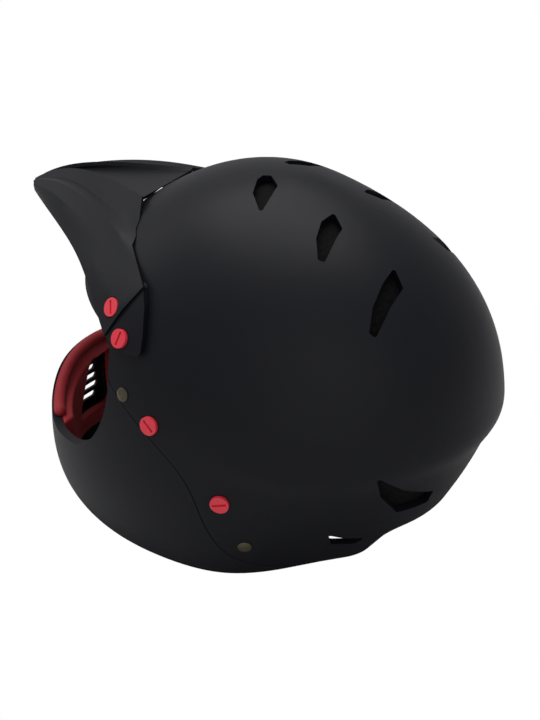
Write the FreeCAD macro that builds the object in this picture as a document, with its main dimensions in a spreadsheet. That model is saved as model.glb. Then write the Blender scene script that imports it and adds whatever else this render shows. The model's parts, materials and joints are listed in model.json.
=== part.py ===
"""Full-face water sports helmet with a screwed-on chin guard and peak.

Millimetres.  +Z is up, the face looks towards -Y and the wearer's left is +X.
The helmet rests on its lower rim at Z = 0.
"""
import FreeCAD, Part
import math
import os

Vec = FreeCAD.Vector

SIZES = [
    # shell form, in the head's own axes, which lean back by head_pitch when the helmet rests
    ("shell_half_width", 100.0, "half the width over the ears"),
    ("front_reach", 113.4, "head axis to forehead"),
    ("rear_reach", 131.7, "head axis to back of head"),
    ("equator_level", 74.0, "level of the widest ring"),
    ("crown_level", 201.0, "level of the top"),
    ("front_curve", 1.94, "roundness exponent, forehead to crown"),
    ("side_curve", 1.98, "roundness exponent, ear to crown"),
    ("rear_curve", 2.39, "roundness exponent, back to crown"),
    ("plan_curve", 2.11, "roundness exponent seen from above"),
    ("jaw_tuck", 21.0, "narrowing of each side one equator level down"),
    ("jaw_tuck_power", 2.36, "how late the narrowing starts"),
    ("chin_tuck", 4.0, "drawing-in of the chin one equator level down"),
    ("head_pitch", 20.0, "lean of the head's axis when resting"),
    ("axis_y", -28.0, "head axis, forward of the origin"),
    ("axis_z", -4.0, "head axis foot, below the rim"),
    ("origin_shift", 3.03, "moves the finished helmet back, so that the origin is under its middle"),
    # occipital fold
    ("fold_height", 56.0, "height of the fold round the back"),
    ("fold_depth", 6.0, "step under the fold"),
    ("fold_softness", 2.6, "roundness of the fold"),
    ("nape_depth", 16.0, "further drawing-in at the nape rim"),
    ("fold_start_y", 7.0, "where the fold fades in"),
    ("fold_full_y", 82.0, "where the fold is at full depth"),
    ("fold_rise", 26.0, "rise of the fold where it fades in"),
    ("nape_axis_y", 12.0, "point that the nape draws in to"),
    # walls, as depths below the outer face
    ("shell_wall", 4.0, "outer shell wall"),
    ("guard_wall", 4.6, "chin guard wall"),
    ("layer_gap", 0.3, "gap between stacked layers"),
    ("flange_wall", 3.0, "guard flange behind the shell"),
    ("flange_ahead", 8.0, "flange root ahead of the seam"),
    ("flange_behind", 20.0, "flange length behind the seam"),
    ("seam_gap", 0.5, "open seam between shell and guard"),
    ("liner_wall", 14.0, "impact liner thickness"),
    ("liner_split", 0.8, "gap between liner pieces"),
    ("pad_wall", 6.0, "comfort pad thickness"),
    ("lining_wall", 6.5, "chin guard lining thickness"),
    ("cheek_wall", 20.0, "cheek pad thickness"),
    # rims and openings
    ("port_rear_y", -33.0, "rear edge of the face opening"),
    ("port_corner_z", 126.0, "brow corner height"),
    ("brow_slope", 20.0, "rise of the brow edge towards the front, degrees"),
    ("port_corner_radius", 11.0, "rounding of the brow corner"),
    ("nape_rim_z", 16.0, "height of the rim at the nape"),
    ("lobe_rear_y", 74.0, "rear end of the side lobes"),
    ("lobe_radius", 14.0, "rounding of the lobe end"),
    # grille
    ("slot_pitch", 6.4, "slot spacing"),
    ("slot_height", 3.7, "slot height"),
    ("slot_base_z", 35.5, "lowest slot"),
    ("slot_1_length", 24.0, "lowest slot, end to end"),
    ("slot_2_length", 26.0, "second slot"),
    ("slot_3_length", 23.0, "third slot"),
    ("slot_4_length", 19.0, "fourth slot"),
    ("slot_5_length", 9.0, "highest slot"),
    ("grille_margin", 4.5, "lining cut back round the grille"),
    ("grille_wall", 1.6, "guard wall left at the grille"),
    ("lining_base_z", 19.0, "lower edge of the lining"),
    ("lining_rear_y", -89.0, "rear end of the lining"),
    ("bead_radius", 3.2, "rolled edge of the lining"),
    ("bead_inset", 4.4, "depth of the rolled edge's middle"),
    ("bead_lift", 1.6, "rolled edge's middle, above the rim"),
    # dome and nape vents
    ("vent_depth", 24.0, "depth of the vent cutters"),
    # peak
    ("peak_wall", 3.0, "peak wall"),
    ("tab_gap", 0.4, "gap between tab and shell"),
    # fasteners
    ("head_radius", 4.8, "coin-slot screw head radius"),
    ("head_height", 1.9, "screw head height"),
    ("coin_slot_width", 1.3, "coin slot width"),
    ("coin_slot_depth", 1.0, "coin slot depth"),
    ("shank_radius", 2.5, "screw shank radius"),
    ("shank_length", 11.5, "screw shank length"),
    ("running_fit", 0.06, "radial clearance of a screw in its hole"),
    ("spot_depth", 0.7, "depth of the flat under a screw head"),
    ("spot_margin", 0.5, "flat's margin round the head"),
    ("nut_radius", 6.5, "tee nut flange radius"),
    ("nut_flange", 1.0, "tee nut flange thickness"),
    ("nut_barrel_radius", 4.0, "tee nut barrel radius"),
    ("nut_height", 4.5, "tee nut height"),
    ("rivet_radius", 3.6, "strap rivet head radius"),
    ("rivet_dome", 1.1, "strap rivet head height"),
    ("rivet_shank", 1.8, "strap rivet shank radius"),
    # webbing and buckle
    ("strap_width", 14.0, "webbing width"),
    ("strap_wall", 1.6, "webbing thickness"),
    ("divider_wall", 4.4, "strap divider thickness"),
    ("chin_strap_z", 9.0, "height of the chin strap"),
    ("chin_strap_y", -8.0, "chin strap centre line"),
    ("buckle_length", 30.0, "buckle housing length"),
    ("buckle_width", 28.0, "buckle housing width"),
    ("buckle_height", 9.0, "buckle housing height"),
    ("buckle_wall", 2.0, "buckle housing wall"),
    ("plug_length", 11.0, "length of the plug's base"),
    ("arm_width", 3.2, "buckle arm width"),
    ("buckle_fit", 0.4, "clearance round the plug"),
    ("buckle_travel", 22.0, "travel of the plug along its webbing"),
]

LOWER_ROWS = 20
UPPER_ROWS = 9
COLUMNS = 40
SPAN = 320.0

doc = FreeCAD.newDocument("water_helmet")
sheet = doc.addObject("Spreadsheet::Sheet", "sizes")
for row, (alias, value, meaning) in enumerate(SIZES, start=1):
    sheet.set(f"A{row}", meaning)
    sheet.set(f"B{row}", str(value))
    sheet.setAlias(f"B{row}", alias)
doc.recompute()
nodes = []


def size(alias):
    return float(sheet.get(alias))


def feature(label, shape):
    """A document object that holds a shape made with Part's own functions."""
    made = doc.addObject("Part::Feature", label)
    made.Label = label
    made.Shape = shape
    return made


def operation(kind, label, **links):
    """A boolean or other derived object of the document."""
    made = doc.addObject("Part::" + kind, label)
    made.Label = label
    for name, value in links.items():
        setattr(made, name, value)
    doc.recompute()
    return made


def cut(label, base, *tools):
    """Base less each tool in turn."""
    for number, tool in enumerate(tools, start=1):
        last = number == len(tools)
        base = operation("Cut", label if last else f"{label}_cut{number}", Base=base, Tool=tool)
    return base


def common(label, base, tool):
    return operation("Common", label, Base=base, Tool=tool)


def node(thing):
    """Marks a document object as a piece of the helmet."""
    nodes.append(thing)
    return thing


def bind(thing, **formulas):
    for name, formula in formulas.items():
        thing.setExpression(name, formula)
    return thing


# ---------------------------------------------------------------- shell form


def arc(ratio, power):
    """Superellipse: 1 at ratio 0, 0 at ratio 1."""
    return max(0.0, 1 - ratio**power) ** (1 / power)


def smooth_step(value):
    value = min(1.0, max(0.0, value))
    return value * value * (3 - 2 * value)


def power_of(value, power):
    return math.copysign(abs(value) ** power, value)


def unfolded_point(angle, level, inset):
    """A point of the shell before the nape is drawn in; angle 0 is the forehead."""
    equator, crown = size("equator_level"), size("crown_level") - inset
    rise = max(0.0, (level - equator) / (crown - equator))
    drop = max(0.0, (equator - level) / equator)
    half = (size("shell_half_width") - inset) * arc(rise, size("side_curve"))
    half -= size("jaw_tuck") * drop ** size("jaw_tuck_power")
    front = (size("front_reach") - inset) * arc(rise, size("front_curve")) - size("chin_tuck") * drop**2
    rear = (size("rear_reach") - inset) * arc(rise, size("rear_curve"))
    power = 2 / size("plan_curve")
    x = half * power_of(math.sin(angle), power)
    along = -power_of(math.cos(angle), power)
    y = along * (rear if along > 0 else front)
    pitch = math.radians(size("head_pitch"))
    return Vec(
        x,
        size("axis_y") + y * math.cos(pitch) + level * math.sin(pitch),
        size("axis_z") - y * math.sin(pitch) + level * math.cos(pitch),
    )


def shell_point(angle, level, inset):
    """A point at a depth of inset under the shell's outer face."""
    point = unfolded_point(angle, level, inset)
    start, full = size("fold_start_y"), size("fold_full_y")
    reach = smooth_step((point.y - start) / (full - start))
    fold = size("fold_height") + size("fold_rise") * (1 - reach) ** 2
    below = fold - point.z
    depth = size("fold_depth") / (1 + math.exp(-below / size("fold_softness")))
    depth += size("nape_depth") * max(0.0, below / fold) ** 1.2
    centre = size("nape_axis_y")
    radius = math.hypot(point.x, point.y - centre)
    scale = 1 - depth * reach / max(radius, 1.0)
    return Vec(point.x * scale, centre + (point.y - centre) * scale, point.z)


def foot_level(angle, inset, floor):
    """The level at which the shell crosses a flat floor at this angle."""
    low, high = -90.0, size("crown_level") / 2
    for _ in range(40):
        middle = (low + high) / 2
        if unfolded_point(angle, middle, inset).z < floor:
            low = middle
        else:
            high = middle
    return (low + high) / 2


def shell_blank(label, inset):
    """The closed solid inside the face at this depth, with a flat foot below the rim."""
    floor = -8.0 - inset / 10
    shoulder = size("equator_level") + 48.0
    crown = size("crown_level") - inset
    angles = [2 * math.pi * column / COLUMNS for column in range(COLUMNS)]
    rows = []
    for row in range(LOWER_ROWS + 1):
        share = row / LOWER_ROWS
        feet = [foot_level(angle, inset, floor) for angle in angles]
        rows.append([
            shell_point(angle, foot + (shoulder - foot) * share, inset)
            for angle, foot in zip(angles, feet)
        ])
    equator = size("equator_level")
    first = math.asin((shoulder - equator) / (crown - equator))
    for row in range(1, UPPER_ROWS):
        lift = first + (math.pi / 2 - first) * row / UPPER_ROWS
        level = equator + (crown - equator) * math.sin(lift)
        rows.append([shell_point(angle, level, inset) for angle in angles])
    apex = shell_point(0.0, crown, inset)
    ring = rows[-1]
    pitch = math.radians(size("head_pitch"))
    up = Vec(0, math.sin(pitch), math.cos(pitch))
    flat = []
    for point in ring:
        spoke = (point - apex) - up * (point - apex).dot(up)
        flat.append(apex + spoke * 0.45)
    rows.append(flat)
    rows.append([apex] * COLUMNS)
    surface = Part.BSplineSurface()
    surface.buildFromPolesMultsKnots(
        rows,
        [4] + [1] * (len(rows) - 4) + [4],
        [1] * (COLUMNS + 1),
        [float(knot) for knot in range(len(rows) - 2)],
        [float(knot) for knot in range(COLUMNS + 1)],
        False,
        True,
        3,
        3,
    )
    skin = surface.toShape()
    foot_edge = min(skin.Edges, key=lambda edge: edge.BoundBox.ZMax)
    closed = Part.Shell([skin, Part.Face(Part.Wire(foot_edge))])
    closed.sewShape()
    return feature(label, Part.Solid(closed))


wall = size("shell_wall")
gap = size("layer_gap")
flange_outer = wall + gap
flange_inner = flange_outer + size("flange_wall")
liner_inner = flange_outer + size("liner_wall")
pad_outer = liner_inner + size("liner_split")
lining_outer = size("guard_wall") + gap
strap_inset = flange_inner + gap + size("strap_wall") / 2
cheek_outer = strap_inset + size("strap_wall") / 2 + 2 * gap

outer_blank = shell_blank("outer_blank", 0.0)
shell_core = shell_blank("shell_core", wall)
guard_core = shell_blank("guard_core", size("guard_wall"))
flange_blank = shell_blank("flange_blank", flange_outer)
flange_core = shell_blank("flange_core", flange_inner)
liner_core = shell_blank("liner_core", liner_inner)
pad_blank = shell_blank("pad_blank", pad_outer)
pad_core = shell_blank("pad_core", pad_outer + size("pad_wall"))
cheek_blank = shell_blank("cheek_blank", cheek_outer)
cheek_core = shell_blank("cheek_core", cheek_outer + size("cheek_wall"))
lining_blank = shell_blank("lining_blank", lining_outer)
lining_core = shell_blank("lining_core", lining_outer + size("lining_wall"))
tab_blank = shell_blank("tab_blank", -size("tab_gap") - size("peak_wall"))
tab_core = shell_blank("tab_core", -size("tab_gap"))
outer_face = max(outer_blank.Shape.Faces, key=lambda face: face.Area)


def surface_hit(start, end):
    """Where a straight probe leaves the shell, and the way out of the shell there."""
    inside = outer_blank.Shape.common(Part.makeLine(start, end))
    hit = min((vertex.Point for vertex in inside.Vertexes), key=lambda point: (point - end).Length)
    normal = outer_face.normalAt(*outer_face.Surface.parameter(hit))
    if normal.dot(end - start) < 0:
        normal = -normal
    return hit, normal


def side_point(y, z):
    return surface_hit(Vec(0, y, z), Vec(SPAN / 2, y, z))


# ------------------------------------------------------- outlines in side view


def side(y, z):
    """A point of a side-view outline, at the right-hand end of its prism."""
    return Vec(-SPAN / 2, y, z)


def prism(label, edges):
    """A side-view outline drawn across the whole helmet."""
    outline = feature(label + "_outline", Part.Wire(Part.__sortEdges__(edges)))
    made = operation("Extrusion", label, Base=outline, Dir=Vec(1, 0, 0), Solid=True)
    made.LengthFwd = SPAN
    doc.recompute()
    return made


def lines(points):
    return Part.makePolygon(points).Edges


def rounded(points, radius):
    """The edges of a closed polygon with every corner rounded."""
    edges, ends = [], []
    count = len(points)
    for number, corner in enumerate(points):
        before = (points[number - 1] - corner).normalize()
        after = (points[(number + 1) % count] - corner).normalize()
        half = before.getAngle(after) / 2
        reach = radius / math.tan(half)
        middle = (before + after).normalize()
        centre = corner + middle * (radius / math.sin(half))
        start, end = corner + before * reach, corner + after * reach
        ends.append((start, centre - middle * radius, end))
    for number, (start, middle, end) in enumerate(ends):
        edges.append(Part.Arc(start, middle, end).toShape())
        edges.append(Part.makeLine(end, ends[(number + 1) % count][0]))
    return edges


def spline(points):
    curve = Part.BSplineCurve()
    curve.interpolate(points)
    return curve.toShape()


FAR = 200.0
SEAM = [(-33.0, 105.5), (-6.0, 80.5), (12.0, 58.5), (17.5, 34.0), (27.0, 12.0), (44.0, 2.5), (62.0, -9.0)]
RIM = [
    (-33.0, 104.0), (-36.0, 88.0), (-45.0, 73.5), (-60.0, 62.5), (-78.0, 59.0),
    (-92.0, 58.5), (-106.0, 64.0), (-116.0, 76.0), (-126.0, 80.0),
]


def seam_line(shift):
    return [side(y + shift, z) for y, z in SEAM]


def ahead_of_seam(label, shift):
    seam = seam_line(shift)
    last = seam[-1]
    return prism(label, [spline(seam)] + lines([
        last, side(last.y, -60.0), side(-FAR, -60.0), side(-FAR, seam[0].z), seam[0],
    ]))


port_y, port_z = size("port_rear_y"), size("port_corner_z")
brow_front = side(-FAR, port_z + (port_y + FAR) * math.tan(math.radians(size("brow_slope"))))
corner = side(port_y, port_z)
brow_way = (brow_front - corner).normalize()
down = Vec(0, 0, -1)
half_corner = brow_way.getAngle(down) / 2
corner_reach = size("port_corner_radius") / math.tan(half_corner)
corner_middle = (brow_way + down).normalize()
corner_nose = corner + corner_middle * (size("port_corner_radius") * (1 / math.sin(half_corner) - 1))
rim_points = [side(y, z) for y, z in RIM]
face_opening = prism("face_opening", [
    spline(rim_points),
    *lines([rim_points[-1], side(-FAR, rim_points[-1].z), brow_front, corner + brow_way * corner_reach]),
    Part.Arc(corner + brow_way * corner_reach, corner_nose, corner + down * corner_reach).toShape(),
    *lines([corner + down * corner_reach, rim_points[0]]),
])

lobe_y, nape_z = size("lobe_rear_y"), size("nape_rim_z")
under_rim = prism("under_rim", rounded([
    side(-FAR, 0), side(lobe_y, 0), side(lobe_y + nape_z, nape_z), side(FAR, nape_z),
    side(FAR, -80), side(-FAR, -80),
], size("lobe_radius")))

shell_front = ahead_of_seam("shell_front", 0.0)
guard_front = ahead_of_seam("guard_front", -size("seam_gap"))
band_front, band_rear = seam_line(-size("flange_ahead")), seam_line(size("flange_behind"))
flange_band = prism("flange_band", [
    spline(band_front), spline(band_rear),
    *lines([band_front[0], band_rear[0]]), *lines([band_front[-1], band_rear[-1]]),
])

# ---------------------------------------------------------------- vents


def mirrored(shape):
    return shape.mirror(Vec(0, 0, 0), Vec(1, 0, 0))


def both_sides(label, shapes):
    return feature(label, Part.makeCompound(shapes + [mirrored(shape) for shape in shapes]))


def vent_cutter(hit, outline, upward=Vec(0, -1, 0)):
    """A cutter square to the shell; outline is across and along, in the tangent plane."""
    point, normal = hit
    across = upward.cross(normal).normalize()
    along = normal.cross(across)
    depth = size("vent_depth")
    corners = [point + across * u + along * v - normal * (depth / 2) for u, v in outline]
    return Part.Face(Part.Wire(rounded(corners, 1.2))).extrude(normal * depth)


# Each vent: where it is probed, and its outline across and along the shell there.
DOME_VENTS = [
    (23.0, 26.3, [(-3, 5.2), (8, 8.4), (12.8, 7.8), (14.2, 3.8), (7, -3.5), (-3.3, -4.4), (-14.7, -4.8)]),
    (29.6, 63.8, [(-4, 5), (6.6, 6.8), (15.2, 3.6), (7.6, -3.9), (0.7, -3.6), (-14.5, -4.1), (-14.5, -0.5)]),
    (36.4, 96.0, [(-17.6, 2.8), (-5.4, 5.6), (7.8, 4.8), (18.8, 1.9), (10.2, -5.4), (-2.5, -2.4), (-18.6, -1)]),
]
NAPE_VENTS = [
    (25.5, 39.1, [(-20.8, 25.9), (-2.8, 8.8), (17, -3), (15.5, -12), (-3.3, -9.4), (-14.7, 7)]),
    (41.0, 14.1, [(-11, 10), (-1.8, 4.5), (9, 1), (4, -3), (-8.4, 0.3)]),
]
cutters = []
for x, y, outline in DOME_VENTS:
    cutters.append(vent_cutter(surface_hit(Vec(x, y, 60), Vec(x, y, 260)), outline))
nape_axis = size("nape_axis_y")
for turn, z, outline in NAPE_VENTS:
    turn = math.radians(turn)
    start = Vec(0, nape_axis, z)
    hit = surface_hit(start, start + Vec(math.sin(turn), math.cos(turn), 0) * SPAN / 2)
    cutters.append(vent_cutter(hit, outline, Vec(0, 0, 1)))
vents = both_sides("vents", cutters)

slots = []
for number in range(1, 6):
    half = (size(f"slot_{number}_length") - size("slot_height")) / 2
    radius = size("slot_height") / 2
    z = size("slot_base_z") + (number - 1) * size("slot_pitch")
    ends = [Part.makeCylinder(radius, 90, Vec(x, -170, z), Vec(0, 1, 0)) for x in (-half, half)]
    bar = Part.makeBox(2 * half, 90, 2 * radius, Vec(-half, -170, z - radius))
    slots.append(ends[0].fuse(ends[1]).fuse(bar).removeSplitter())
grille = feature("grille", Part.makeCompound(slots))

# ---------------------------------------------------------------- fasteners


def along(shape_kind, label, origin, way, **sizes):
    """A Part primitive whose own Z axis lies along way, with its sizes bound to the sheet."""
    made = doc.addObject("Part::" + shape_kind, label)
    made.Label = label
    made.Placement = FreeCAD.Placement(origin, FreeCAD.Rotation(Vec(0, 0, 1), way))
    return bind(made, **sizes)


PEAK_SCREWS = {"upper": (-31.8, 137.3), "lower": (-23.5, 125.7)}
GUARD_SCREWS = {"front": (-6.0, 87.5), "rear": (27.5, 48.7)}
RIVETS = [(-22.5, 99.9), (33.2, 20.5)]
hand = {"left": 1, "right": -1}


def on_side(hit, turn):
    """A point and outward direction, kept on the left or mirrored to the right."""
    point, normal = hit
    return Vec(turn * point.x, point.y, point.z), Vec(turn * normal.x, normal.y, normal.z)


shell_bores, tab_bores, liner_pockets, peak_nuts, guard_nuts = [], [], [], [], []
screws = []
proud = size("tab_gap") + size("peak_wall")
hole = size("shank_radius") + size("running_fit")
spot = size("head_radius") + size("spot_margin")


def tee_nut(point, way, depth):
    """Flange and threaded barrel behind the wall; the barrel reaches out into the wall's hole."""
    seat = point - way * depth
    flange = Part.makeCylinder(size("nut_radius"), size("nut_flange"), seat - way * size("nut_flange"), way)
    height = size("nut_height")
    barrel = Part.makeCylinder(size("nut_barrel_radius"), height, seat - way * height, way)
    thread = Part.makeCylinder(hole, 2 * height, seat - way * 1.5 * height, way)
    return flange.fuse(barrel).cut(thread)


def coin_screw(label, point, way, lift, slot_turn):
    """Flat-headed red nylon screw; its head's seat is lift above the shell."""
    seat = point + way * (lift - size("spot_depth") + 0.1)
    head = along(
        "Cylinder", label + "_head", seat, way, Radius="sizes.head_radius", Height="sizes.head_height"
    )
    shank = along(
        "Cylinder", label + "_shank", seat - way * size("shank_length"), way,
        Radius="sizes.shank_radius", Height="sizes.shank_length + 0.5",
    )
    slot = along(
        "Box", label + "_slot", seat, way,
        Length="1.5 * sizes.head_radius", Width="sizes.coin_slot_width", Height="2 * sizes.coin_slot_depth",
    )
    turned = slot.Placement.Rotation.multiply(FreeCAD.Rotation(Vec(0, 0, 1), slot_turn))
    offset = Vec(-0.75 * size("head_radius"), -size("coin_slot_width") / 2, 0)
    base = seat + way * (size("head_height") - size("coin_slot_depth"))
    slot.Placement = FreeCAD.Placement(base + turned.multVec(offset), turned)
    body = operation("Fuse", label + "_body", Base=head, Tool=shank)
    return node(cut(label, body, slot))


SLOT_TURNS = {"upper": 10, "lower": -25, "front": 42, "rear": 114}
for name, turn in hand.items():
    for place, (y, z) in PEAK_SCREWS.items():
        point, way = on_side(side_point(y, z), turn)
        screws.append((f"peak_screw_{name}_{place}", point, way, proud, turn * SLOT_TURNS[place]))
        tab_bores.append(Part.makeCylinder(hole, 12, point - way * 2, way))
        tab_bores.append(Part.makeCylinder(spot, 6, point + way * (proud - size("spot_depth")), way))
        shell_bores.append(Part.makeCylinder(hole, 16, point - way * 10, way))
        peak_nuts.append(tee_nut(point, way, wall + gap))
        liner_pockets.append(Part.makeCylinder(size("nut_radius") + 1, 20, point - way * 14, way))
    for place, (y, z) in GUARD_SCREWS.items():
        point, way = on_side(side_point(y, z), turn)
        screws.append((f"guard_screw_{name}_{place}", point, way, 0.0, turn * SLOT_TURNS[place]))
        shell_bores.append(Part.makeCylinder(hole, 24, point - way * 18, way))
        shell_bores.append(Part.makeCylinder(spot, 8, point - way * size("spot_depth"), way))
        guard_nuts.append(tee_nut(point, way, flange_inner + gap))
        liner_pockets.append(Part.makeCylinder(size("nut_radius") + 1, 24, point - way * 20, way))

rivets, washers = [], []
for turn in hand.values():
    for y, z in RIVETS:
        point, way = on_side(side_point(y, z), turn)
        depth = strap_inset + size("strap_wall") / 2 + gap
        dome = Part.makeSphere(6.4, point - way * (6.4 - size("rivet_dome") - 0.3), way)
        cap = dome.common(Part.makeCylinder(size("rivet_radius"), 4, point + way * 0.3, way))
        shank = Part.makeCylinder(size("rivet_shank"), depth + 1.5, point - way * (depth + 1.0), way)
        rivets.append(cap.fuse(shank))
        ring = Part.makeCylinder(size("rivet_radius"), 0.8, point - way * (depth + 0.8), way)
        eye = Part.makeCylinder(size("rivet_shank") + 0.05, 4, point - way * (depth + 2), way)
        washers.append(ring.cut(eye))
        shell_bores.append(Part.makeCylinder(size("rivet_shank") + 0.05, 20, point - way * 14, way))
        liner_pockets.append(Part.makeCylinder(size("rivet_radius") + 1, 24, point - way * 20, way))

bores = feature("bores", Part.makeCompound(shell_bores))
pockets = feature("pockets", Part.makeCompound(liner_pockets))

# ---------------------------------------------------------------- outer shell and chin guard

shell_hollow = cut("shell_hollow", outer_blank, shell_core)
node(cut("outer_shell", shell_hollow, shell_front, face_opening, under_rim, vents, bores))

guard_hollow = cut("guard_hollow", outer_blank, guard_core)
guard_face = common("guard_face", guard_hollow, guard_front)
flange_hollow = cut("flange_hollow", flange_blank, flange_core)
guard_flange = common("guard_flange", flange_hollow, flange_band)
guard_whole = operation("Fuse", "guard_whole", Base=guard_face, Tool=guard_flange)
lining_hollow = cut("lining_hollow", lining_blank, lining_core)
base_z, rear_y = size("lining_base_z"), size("lining_rear_y")
lining_zone = prism("lining_zone", lines([
    side(rear_y, base_z), side(rear_y, 100.0), side(-FAR, 100.0), side(-FAR, base_z), side(rear_y, base_z),
]))
low = size("slot_base_z") - size("slot_height") / 2 - size("grille_margin")
high = size("slot_base_z") + 4 * size("slot_pitch") + size("slot_height") / 2 + size("grille_margin")
wide = size("slot_2_length") / 2 + size("grille_margin")
narrow = size("slot_5_length") / 2 + 1.4 * size("grille_margin")
window_corners = [
    Vec(-wide, -170, low), Vec(wide, -170, low), Vec(narrow, -170, high), Vec(-narrow, -170, high),
]
window = feature("lining_window", Part.Face(Part.Wire(rounded(window_corners, 5.0))).extrude(Vec(0, 110, 0)))
lining_ring = common("lining_ring", lining_hollow, lining_zone)
node(cut("chin_guard_lining", lining_ring, face_opening, window))

bead_blank = shell_blank("bead_blank", size("bead_inset"))
rim_line = Part.Wire([spline(rim_points), *lines([rim_points[-1], side(-FAR, rim_points[-1].z)])])
rim_cut = bead_blank.Shape.section(rim_line.extrude(Vec(SPAN, 0, 0)))
rim_wire = Part.Wire(Part.__sortEdges__(rim_cut.Edges))
bead_points = [point for point in rim_wire.discretize(Number=24) if point.y < rear_y - size("bead_radius")]
bead_curve = Part.BSplineCurve()
bead_curve.interpolate([point + Vec(0, 0, size("bead_lift")) for point in bead_points])
bead_path = bead_curve.toShape()
bead_start, bead_end = bead_curve.StartPoint, bead_curve.EndPoint
bead_round = Part.Wire(Part.makeCircle(
    size("bead_radius"), bead_start, bead_path.tangentAt(bead_path.FirstParameter)
))
bead = Part.Wire(bead_path).makePipeShell([bead_round], True, False)
for end in (bead_start, bead_end):
    bead = bead.fuse(Part.makeSphere(size("bead_radius"), end))
node(feature("lining_bead", bead))

grille_back = shell_blank("grille_back", size("grille_wall"))
grille_recess = common("grille_recess", grille_back, window)
node(cut("chin_guard", guard_whole, face_opening, under_rim, grille_recess, grille, bores))

# ---------------------------------------------------------------- impact liner, pads


def block(label, low_corner, high_corner, pitched=False):
    """A plain box that picks a stretch of a layer; pitched boxes lean with the head."""
    made = doc.addObject("Part::Box", label)
    made.Label = label
    made.Length, made.Width, made.Height = high_corner - low_corner
    if pitched:
        lean = FreeCAD.Rotation(Vec(1, 0, 0), -size("head_pitch"))
        foot = Vec(0, size("axis_y"), size("axis_z"))
        made.Placement = FreeCAD.Placement(foot + lean.multVec(low_corner), lean)
    else:
        made.Placement.Base = low_corner
    doc.recompute()
    return made


liner_hollow = cut("liner_hollow", flange_blank, liner_core)
liner_zone = prism("liner_zone", lines([
    side(-FAR, port_z + 71.0), side(-30.0, 129.0), side(-12.0, 112.0), side(24.0, 88.0),
    side(54.0, 66.0), side(60.0, 20.0), side(FAR, 20.0), side(FAR, 240.0), side(-FAR, 240.0),
    side(-FAR, port_z + 71.0),
]))
liner_fitted = cut("liner_fitted", common("liner_ring", liner_hollow, liner_zone), pockets)
half_split = size("liner_split") / 2
CROWN_FROM, FRONT_TO, REAR_FROM = 158.0, -22.0, 76.0
crown_block = block("crown_block", Vec(-FAR, -FAR, CROWN_FROM + half_split), Vec(FAR, FAR, 300), True)
below_block = block("below_block", Vec(-FAR, -FAR, -100), Vec(FAR, FAR, CROWN_FROM - half_split), True)
front_block = block("front_block", Vec(-FAR, -FAR, -50), Vec(FAR, FRONT_TO - half_split, 300))
rear_block = block("rear_block", Vec(-FAR, REAR_FROM + half_split, -50), Vec(FAR, FAR, 300))
left_block = block("left_block", Vec(5, FRONT_TO + half_split, -50), Vec(FAR, REAR_FROM - half_split, 300))
right_block = block(
    "right_block", Vec(-FAR, FRONT_TO + half_split, -50), Vec(-5, REAR_FROM - half_split, 300)
)
liner_below = common("liner_below", liner_fitted, below_block)
node(common("liner_crown", liner_fitted, crown_block))
node(common("liner_front", liner_below, front_block))
node(common("liner_rear", liner_below, rear_block))
node(common("liner_left", liner_below, left_block))
node(common("liner_right", liner_below, right_block))

pad_hollow = cut("pad_hollow", pad_blank, pad_core)
pad_zones = {
    "comfort_pad_crown": block("crown_pad_block", Vec(-34, -40, 150), Vec(34, 60, 260), True),
    "comfort_pad_front": block("front_pad_block", Vec(-52, -FAR, 122), Vec(52, -60, 146), True),
    "comfort_pad_rear": block("rear_pad_block", Vec(-44, 60, 92), Vec(44, FAR, 136), True),
    "comfort_pad_left": block("left_pad_block", Vec(40, -34, 112), Vec(FAR, 44, 146), True),
    "comfort_pad_right": block("right_pad_block", Vec(-FAR, -34, 112), Vec(-40, 44, 146), True),
}
for label, zone in pad_zones.items():
    node(common(label, pad_hollow, zone))

cheek_hollow = cut("cheek_hollow", cheek_blank, cheek_core)
cheek_zone = prism("cheek_zone", rounded([
    side(-27.0, 96.0), side(-8.0, 90.0), side(22.0, 68.0), side(44.0, 54.0),
    side(46.0, 35.0), side(-14.0, 35.0), side(-29.0, 52.0),
], 5.0))
cheek_whole = cut("cheek_whole", common("cheek_ring", cheek_hollow, cheek_zone), pockets)
left_half = block("left_half", Vec(5, -FAR, -50), Vec(FAR, FAR, 300))
right_half = block("right_half", Vec(-FAR, -FAR, -50), Vec(-5, FAR, 300))
node(common("cheek_pad_left", cheek_whole, left_half))
node(common("cheek_pad_right", cheek_whole, right_half))

# ---------------------------------------------------------------- peak

# Long lines of the left half from the tip back to the rear edge, outside to inside.
# Each carries the step from its outer to its inner face.
PEAK_LINES = [
    ([(10, -130, 168.5), (40, -90, 160), (58, -66.6, 151.5), (77.5, -45, 136), (87, -34.5, 127)],
     (-2.6, 0, -1.2)),
    ([(9.5, -130.5, 170), (35, -92.5, 166), (54, -64.3, 157.8), (73, -41.2, 146.2), (82.8, -24.5, 140.3)],
     (-2.6, 0, -1.8)),
    ([(9, -131, 171), (30, -95, 172), (50, -62, 163.5), (66, -36, 155.5), (76.9, -14.3, 151.3)],
     (-2.4, 0, -2.4)),
    ([(6.5, -132.5, 173), (22, -98, 178), (38, -68, 174), (50, -46, 167), (56, -33.5, 163)],
     (-0.6, 0, -3.0)),
    ([(5, -133, 172.5), (15, -95, 177), (29, -68, 173), (47, -35.5, 167)], (-1.0, 0, -2.2)),
    ([(3, -134, 173), (7, -96, 182), (14, -72, 180.5), (24.4, -47, 177)], (-1.2, 0, -1.8)),
    ([(1.5, -134, 172.5), (5.5, -96, 178.5), (12, -72, 177.5), (22.5, -47.5, 175.8)], (0, 0, -1.6)),
]


def peak_curve(points, turn, step=(0, 0, 0)):
    curve = Part.BSplineCurve()
    share = size("peak_wall") / 3.0
    curve.interpolate([
        Vec(turn * (x + share * step[0]), y + share * step[1], z + share * step[2]) for x, y, z in points
    ])
    return curve.toShape()


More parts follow.
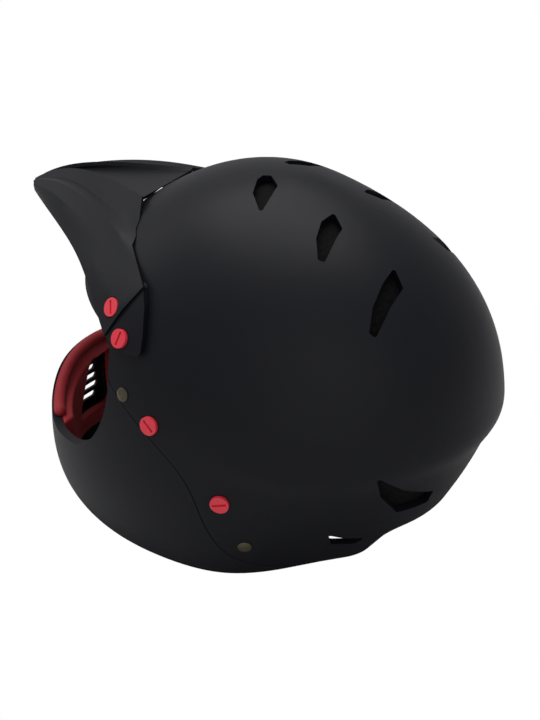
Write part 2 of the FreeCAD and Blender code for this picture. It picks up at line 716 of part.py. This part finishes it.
def ends_of(edge):
    return edge.valueAt(edge.FirstParameter), edge.valueAt(edge.LastParameter)


tops = [peak_curve(points, 1) for points, _ in PEAK_LINES]
tops += [peak_curve(points, -1) for points, _ in reversed(PEAK_LINES)]
undersides = [peak_curve(points, 1, step) for points, step in PEAK_LINES]
undersides += [peak_curve(points, -1, step) for points, step in reversed(PEAK_LINES)]
skins = []
for outer, inner in ((tops[0], undersides[0]), (tops[-1], undersides[-1])):
    skins.append(Part.makeRuledSurface(outer, inner))
for curves in (tops, undersides):
    skins += [Part.makeRuledSurface(one, other) for one, other in zip(curves, curves[1:])]
for end in (0, 1):
    for number in range(len(tops) - 1):
        upper = Part.makeLine(ends_of(tops[number])[end], ends_of(tops[number + 1])[end])
        lower = Part.makeLine(ends_of(undersides[number])[end], ends_of(undersides[number + 1])[end])
        skins.append(Part.makeRuledSurface(upper, lower))
peak_shell = Part.Shell(skins)
peak_shell.sewShape()
visor = feature("visor", Part.Solid(peak_shell))

tab_layer = cut("tab_layer", tab_blank, tab_core)
tab_zone = prism("tab_zone", rounded([
    side(-39.0, 131.5), side(-34.5, 126.5), side(-28.5, 120.8), side(-10.2, 120.8), side(-10.0, 131.0),
    side(-11.6, 142.5), side(-14.8, 150.0), side(-20.0, 152.0),
], 3.5))
tabs = common("tabs", tab_layer, tab_zone)
peak_whole = operation("Fuse", "peak_whole", Base=visor, Tool=tabs)
tab_bore_set = feature("tab_bores", Part.makeCompound(tab_bores))
node(cut("peak", peak_whole, tab_core, tab_bore_set))

# ---------------------------------------------------------------- fasteners in place

for label, point, way, lift, slot_turn in screws:
    coin_screw(label, point, way, lift, slot_turn)
node(feature("peak_nuts", Part.makeCompound(peak_nuts)))
node(feature("guard_nuts", Part.makeCompound(guard_nuts)))
node(feature("strap_rivets", Part.makeCompound(rivets)))
node(feature("rivet_washers", Part.makeCompound(washers)))

# ---------------------------------------------------------------- straps and buckle

strap_blank = shell_blank("strap_blank", strap_inset - size("strap_wall") / 2)
strap_core = shell_blank("strap_core", strap_inset + size("strap_wall") / 2)
divider_core = shell_blank("divider_core", strap_inset - size("strap_wall") / 2 + size("divider_wall"))
strap_layer = cut("strap_layer", strap_blank, strap_core)
divider_layer = cut("divider_layer", strap_blank, divider_core)
half_width = size("strap_width") / 2


def webbing(label, start, end):
    """A straight run of webbing in side view, in the strap layer on both sides."""
    run = Vec(0, end[0] - start[0], end[1] - start[1]).normalize()
    across = Vec(0, -run.z, run.y) * half_width
    corners = [side(*start) + across, side(*end) + across, side(*end) - across, side(*start) - across]
    band = common(label, strap_layer, prism(label + "_band", rounded(corners, 1.5)))
    return cut(label + "_drilled", band, bores)


front_webs = webbing("front_webs", (-23.8, 107.5), (-15.0, 25.0))
rear_webs = webbing("rear_webs", (43.0, 23.0), (5.0, 23.0))
divider_zone = prism("divider_zone", rounded([
    side(-24.0, 32.0), side(12.0, 32.0), side(12.0, 14.0), side(0.0, 6.0), side(-17.0, 6.0),
    side(-24.0, 14.0),
], 4.0))
strap_z, strap_y = size("chin_strap_z"), size("chin_strap_y")
thick = size("strap_wall")
housing_end = -4.0 + size("buckle_length") / 2
housing_start = housing_end - size("buckle_length")
plug_start = housing_end + gap
plug_end = plug_start + size("plug_length")
straight_end = plug_end + size("buckle_travel") + 3.0
anchor_x, anchor_z = 77.0, strap_z + 5.0


def chin_web(label, points):
    """Webbing that runs across under the chin; its side is drawn from points along its middle."""
    over = [Vec(x, strap_y - half_width, z + thick / 2) for x, z in points]
    under = [Vec(x, strap_y - half_width, z - thick / 2) for x, z in reversed(points)]
    outline = Part.Wire(lines(over + under + over[:1]))
    return feature(label, Part.Face(outline).extrude(Vec(0, 2 * half_width, 0)))


chin_left = chin_web("chin_strap_left", [
    (plug_start + 1.0, strap_z), (straight_end, strap_z), (anchor_x, anchor_z),
])
chin_right = chin_web("chin_strap_right", [
    (-anchor_x, anchor_z), (-straight_end, strap_z), (housing_start + 4.0, strap_z),
])
divider_plates = common("divider_plates", divider_layer, divider_zone)
dividers = cut("dividers", divider_plates, front_webs, rear_webs, chin_left, chin_right)
for name, half in (("left", left_half), ("right", right_half)):
    node(common("front_strap_" + name, front_webs, half))
    node(common("rear_strap_" + name, rear_webs, half))
    node(common("strap_divider_" + name, dividers, half))
node(chin_left)
node(chin_right)


def bar(label, low_corner, high_corner, radius=0.0):
    """A box; a radius rounds its long edges along X."""
    spread = high_corner - low_corner
    shape = Part.makeBox(spread.x, spread.y, spread.z, low_corner)
    if radius:
        shape = shape.makeFillet(radius, [e for e in shape.Edges if e.BoundBox.XLength > spread.x - 0.01])
    return feature(label, shape)


half_buckle, half_height = size("buckle_width") / 2, size("buckle_height") / 2
room_y, room_z = half_buckle - size("buckle_wall"), half_height - size("buckle_wall")
middle = Vec(0, strap_y, strap_z)
housing_block = bar(
    "housing_block", middle + Vec(housing_start, -half_buckle, -half_height),
    middle + Vec(housing_end, half_buckle, half_height), 2.0,
)
room_start = housing_start + 6.5
housing_room = bar(
    "housing_room", middle + Vec(room_start, -room_y, -room_z), middle + Vec(housing_end + 5, room_y, room_z)
)
housing_slot = bar(
    "housing_slot", middle + Vec(housing_start - 1, -half_width - 0.05, -thick / 2 - 0.05),
    middle + Vec(housing_start + 4.5, half_width + 0.05, thick / 2 + 0.05),
)
housing_windows = bar(
    "housing_windows", middle + Vec(room_start + 4, -half_buckle - 1, -room_z),
    middle + Vec(room_start + 14, half_buckle + 1, room_z),
)
node(cut("buckle_housing", housing_block, housing_room, housing_slot, housing_windows))
fit = size("buckle_fit")
plug_base = bar(
    "plug_base", middle + Vec(plug_start, -half_buckle, -half_height),
    middle + Vec(plug_end, half_buckle, half_height), 2.0,
)
arm_tip = room_start + 1.0
arms = bar(
    "plug_arms", middle + Vec(arm_tip, -room_y + fit, -room_z + fit),
    middle + Vec(plug_start + 3, room_y - fit, room_z - fit),
)
between = bar(
    "plug_between", middle + Vec(arm_tip - 1, -room_y + fit + size("arm_width"), -half_height),
    middle + Vec(plug_start, room_y - fit - size("arm_width"), half_height),
)
plug_slot = bar(
    "plug_slot", middle + Vec(plug_start - 1, -half_width - 0.5, -thick / 2 - 0.5),
    middle + Vec(plug_end + 1, half_width + 0.5, thick / 2 + 0.5),
)
plug_forks = cut("plug_forks", arms, between)
plug_body = operation("Fuse", "plug_body", Base=plug_base, Tool=plug_forks)
node(cut("buckle_plug", plug_body, plug_slot))

# ---------------------------------------------------------------- checks and export

doc.recompute()
for thing in doc.Objects:
    if "Invalid" in thing.State or "Error" in thing.State:
        raise RuntimeError(thing.Label + " did not build")
os.makedirs("parts", exist_ok=True)
to_origin = FreeCAD.Placement(Vec(0, size("origin_shift"), 0), FreeCAD.Rotation())
for thing in nodes:
    thing.Placement = to_origin.multiply(thing.Placement)
    if thing.Shape.isNull() or not thing.Shape.isValid() or not thing.Shape.Solids:
        raise RuntimeError(thing.Label + " is not a valid solid")
    thing.Shape.exportStep(f"parts/{thing.Label}.step")
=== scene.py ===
"""Water helmet: a full-face shell with a screwed-on chin guard and peak, resting on its rim.

Metres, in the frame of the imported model.  +Z is up, the face looks towards -Y.
"""
import json
import math

import bmesh
import bpy
from mathutils import Matrix, Vector


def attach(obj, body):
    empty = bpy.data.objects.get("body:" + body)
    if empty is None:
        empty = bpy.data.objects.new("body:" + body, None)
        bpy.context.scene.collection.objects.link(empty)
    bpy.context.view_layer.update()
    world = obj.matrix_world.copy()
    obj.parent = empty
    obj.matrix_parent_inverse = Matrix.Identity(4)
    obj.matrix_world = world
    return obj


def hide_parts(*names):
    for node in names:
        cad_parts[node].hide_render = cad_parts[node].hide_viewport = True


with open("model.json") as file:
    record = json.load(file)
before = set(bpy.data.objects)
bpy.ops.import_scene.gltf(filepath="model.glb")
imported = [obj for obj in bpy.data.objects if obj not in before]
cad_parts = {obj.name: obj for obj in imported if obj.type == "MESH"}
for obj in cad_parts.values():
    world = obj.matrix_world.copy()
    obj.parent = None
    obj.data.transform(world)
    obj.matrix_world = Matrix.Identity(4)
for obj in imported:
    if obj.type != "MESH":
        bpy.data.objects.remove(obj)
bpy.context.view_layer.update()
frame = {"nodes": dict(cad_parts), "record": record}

MM = 0.001

# ---------------------------------------------------------------- outer shell
# The shell is one injection-moulded ABS dome with an open face, vents and a fold round the nape.
# It leaves a fine-sparked mould, so it is satin rather than glossy, with soft, broad highlights.


def linear(hex_colour):
    """sRGB hex to the linear values that a shader socket takes."""
    values = [int(hex_colour[i:i + 2], 16) / 255 for i in (1, 3, 5)]
    return (*[v / 12.92 if v <= 0.04045 else ((v + 0.055) / 1.055) ** 2.4 for v in values], 1.0)


def add(tree, kind, settings=None, **links):
    """Adds a shader node; a setting names a property or an input, a link gives an input its source."""
    made = tree.nodes.new("ShaderNode" + kind)
    for name, value in (settings or {}).items():
        if name in made.inputs:
            made.inputs[name].default_value = value
        else:
            setattr(made, name, value)
    for name, source in links.items():
        tree.links.new(source, made.inputs[name.replace("_", " ")])
    return made


# The plastic flows in patches about this wide, which shift its sheen a little.
FLOW_MARK_MM = 60
# Chosen below the 1.5 or so of real plastic, at which the helmet renders too pale.
PLASTIC_IOR = 1.27


def new_material(name):
    """An empty material with its output node."""
    made = bpy.data.materials.new(name)
    made.use_nodes = True
    made.node_tree.nodes.clear()
    return made, made.node_tree, add(made.node_tree, "OutputMaterial")


def two_tone(tree, share, dark, pale):
    """The colour between dark and pale, by a pattern's share."""
    tint = add(tree, "Mix", {"data_type": "RGBA"})
    tree.links.new(share, tint.inputs["Factor"])
    first, second = (socket for socket in tint.inputs if socket.type == "RGBA")
    first.default_value, second.default_value = linear(dark), linear(pale)
    return next(socket for socket in tint.outputs if socket.type == "RGBA")


def finish_with(tree, output, colour, settings, **links):
    """Closes a material with its surface shader."""
    surface = add(tree, "BsdfPrincipled", settings, Base_Color=colour, **links)
    tree.links.new(surface.outputs["BSDF"], output.inputs["Surface"])


def sparked_plastic(name, dark, pale, roughness, grain_mm, depth_mm):
    """Moulded plastic from a spark-eroded mould: an even fine grain that blurs every highlight."""
    made, tree, output = new_material(name)
    place = add(tree, "TexCoord").outputs["Object"]
    flow = add(tree, "TexNoise", {"Scale": 1 / (FLOW_MARK_MM * MM), "Detail": 3.0}, Vector=place)
    grain = add(tree, "TexNoise", {"Scale": 1 / (grain_mm * MM), "Detail": 2.0}, Vector=place)
    dull = add(
        tree, "MapRange", {"To Min": roughness - 0.04, "To Max": roughness + 0.05},
        Value=flow.outputs["Fac"],
    )
    bump = add(tree, "Bump", {"Strength": 0.5, "Distance": depth_mm * MM}, Height=grain.outputs["Fac"])
    finish_with(
        tree, output, two_tone(tree, flow.outputs["Fac"], dark, pale), {"IOR": PLASTIC_IOR},
        Roughness=dull.outputs["Result"], Normal=bump.outputs["Normal"],
    )
    return made


def smooth_copy(node, sharp_degrees=30.0):
    """A CAD node's mesh with its loose triangles joined, rounded in shade up to a sharp edge."""
    mesh = bpy.data.meshes.new(node + "_skin")
    work = bmesh.new()
    work.from_mesh(frame["nodes"][node].data)
    bmesh.ops.remove_doubles(work, verts=work.verts, dist=0.002 * MM)
    for face in work.faces:
        face.smooth = True
    for edge in work.edges:
        if len(edge.link_faces) != 2 or edge.calc_face_angle(0.0) > math.radians(sharp_degrees):
            edge.smooth = False
    work.to_mesh(mesh)
    work.free()
    return mesh


body_of_node = {
    node: body for body, members in frame["record"]["behaviour"]["bodies"].items() for node in members
}


def stand_in(node, mesh, material):
    """Shows a mesh in place of a CAD node, on the same body."""
    made = bpy.data.objects.new(node + "_skin", mesh)
    bpy.context.scene.collection.objects.link(made)
    mesh.materials.clear()
    mesh.materials.append(material)
    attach(made, body_of_node[node])
    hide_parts(node)
    return made


satin_abs = sparked_plastic("satin moulded ABS", "#0d0e14", "#111219", 0.45, 0.5, 0.02)
shell = stand_in("outer_shell", smooth_copy("outer_shell"), satin_abs)

# ---------------------------------------------------------------- chin guard
# A second ABS moulding, screwed behind the shell's front edge.  It is painted a shade paler than the
# shell:
# painted light, for the brighter light that falls on the guard.

# Painted light: these colours are a shade paler than the shell's, for the light that falls on the guard.
guard_abs_painted_light = sparked_plastic("satin moulded ABS, guard", "#0f1016", "#12131b", 0.48, 0.5, 0.02)
guard = stand_in("chin_guard", smooth_copy("chin_guard"), guard_abs_painted_light)

# ---------------------------------------------------------------- peak
# The peak is a thin ABS moulding with two crested horns and a channel between them, held by a tab
# on each side.

peak_abs = sparked_plastic("satin moulded ABS, peak", "#0d0e14", "#111219", 0.40, 0.5, 0.02)
peak = stand_in("peak", smooth_copy("peak", 18.0), peak_abs)

# ---------------------------------------------------------------- screws
# Coin-slot screws moulded in red nylon, with flat heads.  They are the only bright parts.

red_nylon, tree, output = new_material("dyed red nylon")
place = add(tree, "TexCoord").outputs["Object"]
speckle = add(tree, "TexNoise", {"Scale": 1 / (2.0 * MM), "Detail": 2.0}, Vector=place)
colour = two_tone(tree, speckle.outputs["Fac"], "#d8263a", "#e63c4c")
finish_with(tree, output, colour, {"IOR": 1.53, "Roughness": 0.42})


def ease_edges(piece, width_mm):
    """The small rounding that a mould leaves on every sharp edge."""
    edge = piece.modifiers.new("moulded edge", "BEVEL")
    edge.width, edge.segments = width_mm * MM, 2
    edge.limit_method, edge.angle_limit = "ANGLE", math.radians(50)


for node in [name for name in frame["nodes"] if "_screw_" in name]:
    screw = stand_in(node, smooth_copy(node, 40.0), red_nylon)
    ease_edges(screw, 0.25)

# ---------------------------------------------------------------- nuts, rivets and washers
# Black nylon tee nuts, and steel tubular rivets and washers with a dark bronze finish.

nut_nylon = sparked_plastic("black nylon", "#131416", "#1b1c1e", 0.5, 0.6, 0.02)
bronze, tree, output = new_material("bronzed steel")
place = add(tree, "TexCoord").outputs["Object"]
patina = add(tree, "TexNoise", {"Scale": 1 / (3.0 * MM), "Detail": 3.0}, Vector=place)
colour = two_tone(tree, patina.outputs["Fac"], "#3b372c", "#6a6450")
finish_with(tree, output, colour, {"Metallic": 0.85, "Roughness": 0.32})
for node in ("peak_nuts", "guard_nuts"):
    stand_in(node, smooth_copy(node, 40.0), nut_nylon)
for node in ("strap_rivets", "rivet_washers"):
    stand_in(node, smooth_copy(node, 40.0), bronze)

# ---------------------------------------------------------------- impact liner
# Moulded black bead foam in five pieces, glued inside the shell; its fused beads show in the vents.

bead_foam, tree, output = new_material("black bead foam")
place = add(tree, "TexCoord").outputs["Object"]
beads = add(tree, "TexVoronoi", {"Scale": 1 / (2.6 * MM), "Randomness": 1.0}, Vector=place)
bump = add(
    tree, "Bump", {"Strength": 0.9, "Distance": 0.5 * MM, "invert": True}, Height=beads.outputs["Distance"]
)
# Painted shade: black foam painted darker still, for the shade deep behind the vents, and darkest towards
# the seams between beads, as shade in those crevices.
colour = two_tone(tree, beads.outputs["Distance"], "#0c0c0e", "#040405")
# This IOR too is below the real one, chosen for its darkness.
finish_with(tree, output, colour, {"IOR": 1.2, "Roughness": 0.8}, Normal=bump.outputs["Normal"])
for part in ("crown", "front", "rear", "left", "right"):
    stand_in("liner_" + part, smooth_copy("liner_" + part), bead_foam)

# ---------------------------------------------------------------- guard lining
# Soft closed-cell foam in deep red, glued inside the chin guard, with a rolled upper edge.

red_foam, tree, output = new_material("red closed-cell foam")
place = add(tree, "TexCoord").outputs["Object"]
cells = add(tree, "TexNoise", {"Scale": 1 / (1.2 * MM), "Detail": 4.0, "Roughness": 0.6}, Vector=place)
bump = add(tree, "Bump", {"Strength": 0.5, "Distance": 0.15 * MM}, Height=cells.outputs["Fac"])
colour = two_tone(tree, cells.outputs["Fac"], "#8a161d", "#a52029")
finish_with(tree, output, colour, {"IOR": 1.45, "Roughness": 0.7}, Normal=bump.outputs["Normal"])


def soften(pad, grain_mm, passes):
    """Rounds a pad's corners and edges as its foam does: an even skin, then a few smoothing passes."""
    skin = pad.modifiers.new("even skin", "REMESH")
    skin.mode, skin.voxel_size, skin.use_smooth_shade = "VOXEL", grain_mm * MM, True
    give = pad.modifiers.new("soft edges", "SMOOTH")
    give.factor, give.iterations = 0.6, passes


lining = stand_in("chin_guard_lining", smooth_copy("chin_guard_lining"), red_foam)
soften(lining, 0.9, 5)
bead = stand_in("lining_bead", smooth_copy("lining_bead", 60.0), red_foam)

# ---------------------------------------------------------------- comfort and cheek pads
# Soft foam pads under brushed black knit, held to the liner by hook tape.

knit, tree, output = new_material("brushed black knit")
place = add(tree, "TexCoord").outputs["Object"]
loops = add(tree, "TexVoronoi", {"Scale": 1 / (1.6 * MM), "Randomness": 0.35}, Vector=place)
nap = add(tree, "TexNoise", {"Scale": 1 / (9.0 * MM), "Detail": 4.0}, Vector=place)
bump = add(tree, "Bump", {"Strength": 0.6, "Distance": 0.25 * MM}, Height=loops.outputs["Distance"])
colour = two_tone(tree, nap.outputs["Fac"], "#191a1d", "#27282c")
brushed = {"IOR": 1.45, "Roughness": 0.85, "Sheen Weight": 0.3, "Sheen Roughness": 0.5}
finish_with(tree, output, colour, brushed, Normal=bump.outputs["Normal"])
PADS = ["comfort_pad_" + part for part in ("crown", "front", "rear", "left", "right")]
PADS += ["cheek_pad_left", "cheek_pad_right"]
for node in PADS:
    pad = stand_in(node, smooth_copy(node), knit)
    soften(pad, 1.3, 10)

# ---------------------------------------------------------------- webbing
# Flat woven polyester webbing: ribs run across it, so it reads as fine even bars.

webbing, tree, output = new_material("woven polyester webbing")
place = add(tree, "TexCoord").outputs["Object"]
ribs = add(
    tree, "TexWave", {"Scale": 1 / (6.0 * MM), "Distortion": 0.4, "bands_direction": "X"}, Vector=place
)
bump = add(tree, "Bump", {"Strength": 0.6, "Distance": 0.2 * MM}, Height=ribs.outputs["Fac"])
colour = two_tone(tree, ribs.outputs["Fac"], "#101113", "#1e1f22")
finish_with(tree, output, colour, {"IOR": 1.5, "Roughness": 0.72}, Normal=bump.outputs["Normal"])
for side in ("left", "right"):
    for run in ("front_strap_", "rear_strap_", "chin_strap_"):
        stand_in(run + side, smooth_copy(run + side), webbing)

# ---------------------------------------------------------------- dividers and buckle
# Moulded black acetal: slightly waxy, with a plain satin face.

acetal = sparked_plastic("black acetal", "#15161a", "#1c1d20", 0.4, 0.8, 0.015)
for node in ("strap_divider_left", "strap_divider_right", "buckle_housing", "buckle_plug"):
    moulding = stand_in(node, smooth_copy(node), acetal)
    ease_edges(moulding, 0.4)

# ---------------------------------------------------------------- floor, light and camera
# The helmet stands on a plain white sweep, under large soft lamps.

FLOOR_HALF, FLOOR_GAP = 6.0, 0.2 * MM
floor_mesh = bpy.data.meshes.new("floor")
work = bmesh.new()
bmesh.ops.create_grid(work, x_segments=1, y_segments=1, size=FLOOR_HALF)
bmesh.ops.translate(work, verts=work.verts, vec=(0, 0, -FLOOR_GAP))
work.to_mesh(floor_mesh)
work.free()
floor = bpy.data.objects.new("floor", floor_mesh)
bpy.context.scene.collection.objects.link(floor)


def white_to_the_eye(tree, output, lighting, backdrop):
    """Lights the helmet by one shader and shows another behind it."""
    switch = add(tree, "MixShader")
    tree.links.new(add(tree, "LightPath").outputs["Is Camera Ray"], switch.inputs[0])
    tree.links.new(lighting, switch.inputs[1])
    tree.links.new(backdrop, switch.inputs[2])
    tree.links.new(switch.outputs["Shader"], output.inputs["Surface"])


paper, tree, output = new_material("white paper sweep")
matte = add(tree, "BsdfDiffuse", {"Color": linear("#c9c9c9")})
glow = add(tree, "Emission", {"Color": (1, 1, 1, 1), "Strength": 1.0})
white_to_the_eye(tree, output, matte.outputs["BSDF"], glow.outputs["Emission"])
floor_mesh.materials.append(paper)

world = bpy.data.worlds.new("studio")
world.use_nodes = True
tree = world.node_tree
tree.nodes.clear()
output = add(tree, "OutputWorld")
dim = add(tree, "Background", {"Color": (1, 1, 1, 1), "Strength": 0.45})
full = add(tree, "Background", {"Color": (1, 1, 1, 1), "Strength": 1.0})
white_to_the_eye(tree, output, dim.outputs["Background"], full.outputs["Background"])
bpy.context.scene.world = world

# What the lamps and the camera aim at: the helmet's middle, slightly to the rear.
HELMET_MIDDLE = Vector((0.0, 0.0093, 0.0901))
for name, place, side_length, watts in (
    ("overhead", (-0.15, -0.1, 1.5), 1.3, 16.0),
    ("front", (0.2, -1.3, 1.1), 0.9, 2.5),
    ("fill", (1.3, 0.9, 0.55), 1.4, 4.0),
):
    lamp = bpy.data.lights.new(name, "AREA")
    lamp.size, lamp.energy = side_length, watts
    stand = bpy.data.objects.new(name, lamp)
    stand.location = place
    stand.rotation_euler = (HELMET_MIDDLE - stand.location).to_track_quat("-Z", "Y").to_euler()
    bpy.context.scene.collection.objects.link(stand)

# From behind and above the wearer's left shoulder, with the camera tipped a little.
DISTANCE = 0.8
azimuth, elevation, roll = math.radians(122.2), math.radians(23.8), math.radians(-5.7)
back = Vector((
    math.sin(azimuth) * math.cos(elevation), -math.cos(azimuth) * math.cos(elevation), math.sin(elevation),
))
level_right = Vector((math.cos(azimuth), math.sin(azimuth), 0))
level_up = back.cross(level_right)
right = level_right * math.cos(roll) + level_up * math.sin(roll)
up = back.cross(right)
lens = bpy.data.cameras.new("camera")
lens.lens, lens.sensor_width = 75.23, 36.0  # millimetres
lens.shift_x, lens.shift_y = -0.0008, -0.0209
camera = bpy.data.objects.new("camera", lens)
turn = Matrix((right, up, back)).transposed().to_4x4()
camera.matrix_world = Matrix.Translation(HELMET_MIDDLE + back * DISTANCE) @ turn
bpy.context.scene.collection.objects.link(camera)
bpy.context.scene.camera = camera
bpy.context.scene.view_settings.view_transform = "Standard"
